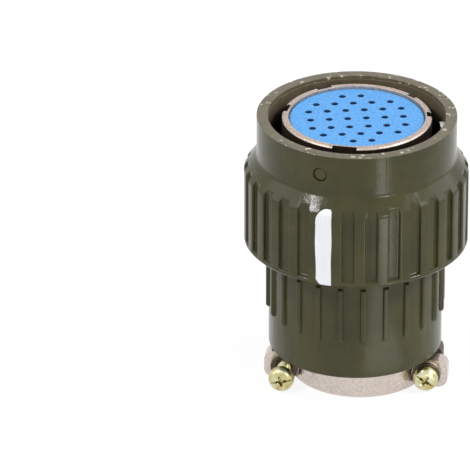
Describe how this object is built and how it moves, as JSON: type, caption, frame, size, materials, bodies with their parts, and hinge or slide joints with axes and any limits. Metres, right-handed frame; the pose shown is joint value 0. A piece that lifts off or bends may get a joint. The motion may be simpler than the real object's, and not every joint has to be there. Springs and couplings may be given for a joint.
{
  "type": "circular connector plug",
  "caption": "Circular bayonet cable plug with a ribbed coupling nut, a keyed shell round a socket insert, a ribbed backshell and a screwed saddle clamp for the cable.",
  "frame": {"origin": "on the plug's axis, in the plane that the cable saddles stand on", "axes": "+Z along the plug's axis towards the mating face, X along the contact rows, -Y the front with the main keyway's side"},
  "size_m": [0.043, 0.043, 0.054],
  "materials": {
    "olive_paint": "gloss olive drab enamel",
    "shell_metal": "passivated casting",
    "clamp_metal": "tumbled zinc casting",
    "insert_blue": "moulded",
    "contact_metal": "plated",
    "zinc_yellow": "yellow zinc plate",
    "spring_steel": "oiled",
    "plain_steel": "bright",
    "black_rubber": "matte"
  },
  "bodies": {
    "plug": {"plug_shell": "shell_metal", "interface_seal": "black_rubber", "wave_spring": "spring_steel", "front_insert": "insert_blue", "rear_insert": "insert_blue", "insert_nut": "shell_metal", "backshell": "olive_paint", "gland_seal": "black_rubber", "upper_gland_washer": "plain_steel", "lower_gland_washer": "plain_steel", "clamp_body": "clamp_metal", "contact_01": "contact_metal", "contact_02": "contact_metal", "contact_03": "contact_metal", "contact_04": "contact_metal", "contact_05": "contact_metal", "contact_06": "contact_metal", "contact_07": "contact_metal", "contact_08": "contact_metal", "contact_09": "contact_metal", "contact_10": "contact_metal", "contact_11": "contact_metal", "contact_12": "contact_metal", "contact_13": "contact_metal", "contact_14": "contact_metal", "contact_15": "contact_metal", "contact_16": "contact_metal", "contact_17": "contact_metal", "contact_18": "contact_metal", "contact_19": "contact_metal", "contact_20": "contact_metal", "contact_21": "contact_metal", "contact_22": "contact_metal", "contact_23": "contact_metal", "contact_24": "contact_metal", "contact_25": "contact_metal", "contact_26": "contact_metal", "contact_27": "contact_metal", "contact_28": "contact_metal", "contact_29": "contact_metal", "contact_30": "contact_metal", "contact_31": "contact_metal", "contact_32": "contact_metal"},
    "thrust": {"thrust_washer": "plain_steel"},
    "nut": {"coupling_nut": "olive_paint", "retaining_ring": "spring_steel", "bayonet_pin_1": "plain_steel", "bayonet_pin_2": "plain_steel", "bayonet_pin_3": "plain_steel"},
    "saddle": {"front_saddle": "clamp_metal", "left_flat_washer": "zinc_yellow", "right_flat_washer": "zinc_yellow", "left_spring_washer": "spring_steel", "right_spring_washer": "spring_steel"},
    "left_screw": {"left_screw": "zinc_yellow"},
    "right_screw": {"right_screw": "zinc_yellow"}
  },
  "joints": [
    {"name": "nut_float", "type": "slide", "parent": "plug", "child": "thrust", "axis": [0, 0, 1], "range_m": [0, 0.0008], "stiffness_N_per_m": 3000, "deforming": ["wave_spring"]},
    {"name": "nut_turn", "type": "hinge", "parent": "thrust", "child": "nut", "pos_m": [0, 0, 0.04], "axis": [0, 0, 1], "continuous": true},
    {"name": "saddle_close", "type": "slide", "parent": "plug", "child": "saddle", "axis": [0.2147, 0.9767, 0], "range_m": [0, 0.0025]},
    {"name": "right_screw_turn", "type": "hinge", "parent": "saddle", "child": "right_screw", "pos_m": [0.01255, -0.01115, 0.0028], "axis": [0.2147, 0.9767, 0], "range_deg": [0, 1800]},
    {"name": "left_screw_in", "type": "slide", "parent": "plug", "child": "left_screw", "axis": [0.2147, 0.9767, 0], "range_m": [0, 0.0033]}
  ],
  "couplings": [
    {"joint": "right_screw_turn", "follows": "saddle_close", "rad_per_m": 12566}
  ]
}
